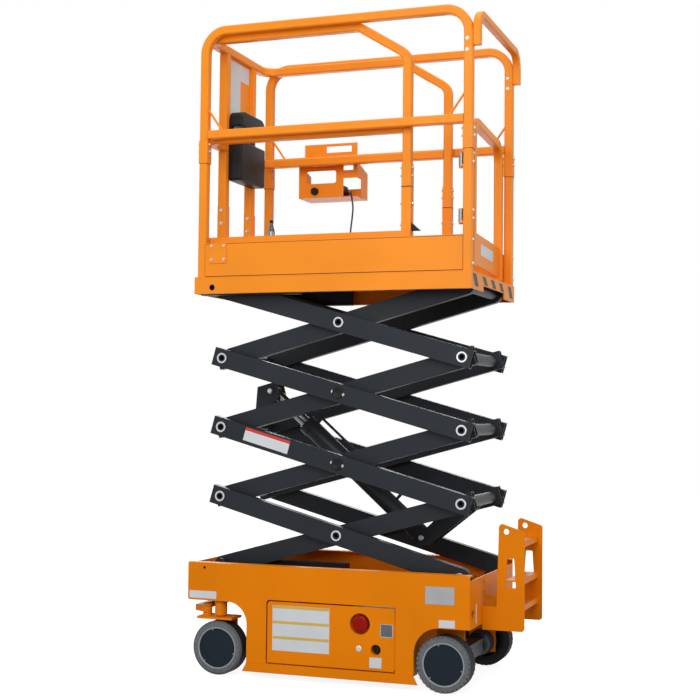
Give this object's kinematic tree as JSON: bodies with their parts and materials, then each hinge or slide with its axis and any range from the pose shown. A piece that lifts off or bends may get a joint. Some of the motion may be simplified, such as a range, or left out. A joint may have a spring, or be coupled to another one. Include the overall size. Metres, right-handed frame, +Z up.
{
  "type": "compact electric scissor lift with roll-out platform",
  "caption": "Compact electric scissor lift, part raised, with four-stage scissor arms, lift cylinder, roll-out platform with guard rails, rear gate, steered front wheels and rear ladder.",
  "frame": {"origin": "on the ground at the middle of the bounding box", "axes": "+X forward, +Y left, +Z up"},
  "size_m": [1.44, 0.91, 2.8246],
  "materials": {
    "orange": "semi-gloss orange paint",
    "orange_light": "semi-gloss orange paint",
    "charcoal": "satin charcoal paint",
    "chrome": "hard chrome",
    "tyre": "solid grey rubber",
    "disc": "dark blue grey paint",
    "black_plastic": "moulded black",
    "red_plastic": "gloss red",
    "black_rubber": "cable sheath"
  },
  "bodies": {
    "chassis": {"chassis_side_left": "orange", "chassis_side_right": "orange", "chassis_frame": "orange", "front_beam": "orange", "arm_base": "charcoal", "rear_axle": "charcoal", "battery_pack": "black_plastic", "power_unit": "charcoal", "ladder_sides": "orange", "ladder_rungs": "orange", "side_guards": "orange"},
    "door_left_body": {"door_left": "orange", "stop_button": "red_plastic", "door_controls": "black_plastic"},
    "door_right_body": {"door_right": "orange"},
    "knuckle_left_body": {"knuckle_left": "orange"},
    "knuckle_right_body": {"knuckle_right": "orange"},
    "tie_rod_body": {"tie_rod": "orange"},
    "wheel_front_left": {"tyre_front_left": "tyre", "hub_front_left": "disc"},
    "wheel_front_right": {"tyre_front_right": "tyre", "hub_front_right": "disc"},
    "wheel_rear_left": {"tyre_rear_left": "tyre", "hub_rear_left": "disc"},
    "wheel_rear_right": {"tyre_rear_right": "tyre", "hub_rear_right": "disc"},
    "outer_arm_1_body": {"outer_arm_1": "charcoal"},
    "inner_arm_1_body": {"inner_arm_1": "charcoal"},
    "outer_arm_2_body": {"outer_arm_2": "charcoal"},
    "inner_arm_2_body": {"inner_arm_2": "charcoal"},
    "outer_arm_3_body": {"outer_arm_3": "charcoal"},
    "inner_arm_3_body": {"inner_arm_3": "charcoal"},
    "outer_arm_4_body": {"outer_arm_4": "charcoal"},
    "inner_arm_4_body": {"inner_arm_4": "charcoal"},
    "barrel_body": {"cylinder_barrel": "charcoal"},
    "rod_body": {"cylinder_rod": "chrome"},
    "platform": {"deck": "orange_light", "deck_skirt": "orange_light", "deck_tracks": "charcoal", "toe_boards": "orange_light", "main_rail_left": "orange_light", "main_rail_right": "orange_light", "rear_rail": "orange_light", "control_holder": "orange_light", "control_box": "black_plastic", "cable": "black_rubber"},
    "gate_body": {"gate": "orange_light"},
    "extension": {"extension_deck": "orange_light", "extension_side_left": "orange_light", "extension_side_right": "orange_light", "extension_front": "orange_light", "front_panel": "orange_light", "document_box": "black_plastic", "deck_lock": "black_plastic", "deck_lever": "chrome"}
  },
  "joints": [
    {"name": "lift", "type": "hinge", "parent": "chassis", "child": "outer_arm_1_body", "pos_m": [-0.481, 0.075, 0.4585], "axis": [0, -1, 0], "range_deg": [-10.5, 32.5]},
    {"name": "cross_1", "type": "hinge", "parent": "outer_arm_1_body", "child": "inner_arm_1_body", "pos_m": [0.06441, 0.075, 0.60976], "axis": [0, 1, 0], "range_deg": [-21, 65]},
    {"name": "link_2", "type": "hinge", "parent": "inner_arm_1_body", "child": "outer_arm_2_body", "pos_m": [-0.481, 0.075, 0.76101], "axis": [0, -1, 0], "range_deg": [-21, 65]},
    {"name": "cross_2", "type": "hinge", "parent": "outer_arm_2_body", "child": "inner_arm_2_body", "pos_m": [0.06441, 0.075, 0.91227], "axis": [0, 1, 0], "range_deg": [-21, 65]},
    {"name": "link_3", "type": "hinge", "parent": "inner_arm_2_body", "child": "outer_arm_3_body", "pos_m": [-0.481, 0.075, 1.06353], "axis": [0, -1, 0], "range_deg": [-21, 65]},
    {"name": "cross_3", "type": "hinge", "parent": "outer_arm_3_body", "child": "inner_arm_3_body", "pos_m": [0.06441, 0.075, 1.21478], "axis": [0, 1, 0], "range_deg": [-21, 65]},
    {"name": "link_4", "type": "hinge", "parent": "inner_arm_3_body", "child": "outer_arm_4_body", "pos_m": [-0.481, 0.075, 1.36604], "axis": [0, -1, 0], "range_deg": [-21, 65]},
    {"name": "cross_4", "type": "hinge", "parent": "outer_arm_4_body", "child": "inner_arm_4_body", "pos_m": [0.06441, 0.075, 1.5173], "axis": [0, 1, 0], "range_deg": [-21, 65]},
    {"name": "platform_level", "type": "hinge", "parent": "inner_arm_4_body", "child": "platform", "pos_m": [-0.481, 0.075, 1.66856], "axis": [0, -1, 0], "range_deg": [-10.5, 32.5]},
    {"name": "barrel_tilt", "type": "hinge", "parent": "inner_arm_1_body", "child": "barrel_body", "pos_m": [-0.23421, 0.075, 0.59191], "axis": [0, -1, 0], "range_deg": [-19.74, 61.1]},
    {"name": "rod_stroke", "type": "slide", "parent": "barrel_body", "child": "rod_body", "axis": [0.7508, 0, 0.6605], "range_m": [-0.16493, 0.51051]},
    {"name": "extension_slide", "type": "slide", "parent": "platform", "child": "extension", "axis": [1, 0, 0], "range_m": [0, 0.6]},
    {"name": "gate_swing", "type": "hinge", "parent": "platform", "child": "gate_body", "pos_m": [-0.476, 0.381, 2.01756], "axis": [0, 0, 1], "range_deg": [-3.5, 84]},
    {"name": "door_left_swing", "type": "hinge", "parent": "chassis", "child": "door_left_body", "pos_m": [-0.2255, 0.449, 0.2], "axis": [0, 0, 1], "range_deg": [0, 90]},
    {"name": "door_right_swing", "type": "hinge", "parent": "chassis", "child": "door_right_body", "pos_m": [-0.2255, -0.299, 0.2], "axis": [0, 0, -1], "range_deg": [0, 90]},
    {"name": "steer_left", "type": "hinge", "parent": "chassis", "child": "knuckle_left_body", "pos_m": [0.58, 0.409, 0.3], "axis": [0, 0, 1], "range_deg": [-75, 75]},
    {"name": "steer_right", "type": "hinge", "parent": "chassis", "child": "knuckle_right_body", "pos_m": [0.58, -0.259, 0.3], "axis": [0, 0, 1], "range_deg": [-75, 75]},
    {"name": "tie_rod_turn", "type": "hinge", "parent": "knuckle_left_body", "child": "tie_rod_body", "pos_m": [0.644, 0.409, 0.274], "axis": [0, 0, 1], "range_deg": [-75, 75]},
    {"name": "spin_front_left", "type": "hinge", "parent": "knuckle_left_body", "child": "wheel_front_left", "pos_m": [0.58, 0.409, 0.115], "axis": [0, 1, 0], "continuous": true},
    {"name": "spin_front_right", "type": "hinge", "parent": "knuckle_right_body", "child": "wheel_front_right", "pos_m": [0.58, -0.259, 0.115], "axis": [0, 1, 0], "continuous": true},
    {"name": "spin_rear_left", "type": "hinge", "parent": "chassis", "child": "wheel_rear_left", "pos_m": [-0.431, 0.409, 0.115], "axis": [0, 1, 0], "continuous": true},
    {"name": "spin_rear_right", "type": "hinge", "parent": "chassis", "child": "wheel_rear_right", "pos_m": [-0.431, -0.259, 0.115], "axis": [0, 1, 0], "continuous": true}
  ],
  "couplings": [
    {"joint": "cross_1", "follows": "lift", "ratio": 2},
    {"joint": "link_2", "follows": "lift", "ratio": 2},
    {"joint": "cross_2", "follows": "lift", "ratio": 2},
    {"joint": "link_3", "follows": "lift", "ratio": 2},
    {"joint": "cross_3", "follows": "lift", "ratio": 2},
    {"joint": "link_4", "follows": "lift", "ratio": 2},
    {"joint": "cross_4", "follows": "lift", "ratio": 2},
    {"joint": "platform_level", "follows": "lift", "ratio": 1},
    {"joint": "barrel_tilt", "follows": "lift", "ratio": 1.88},
    {"joint": "rod_stroke", "follows": "lift", "m_per_rad": 0.9},
    {"joint": "steer_right", "follows": "steer_left", "ratio": 1},
    {"joint": "tie_rod_turn", "follows": "steer_left", "ratio": -1}
  ]
}
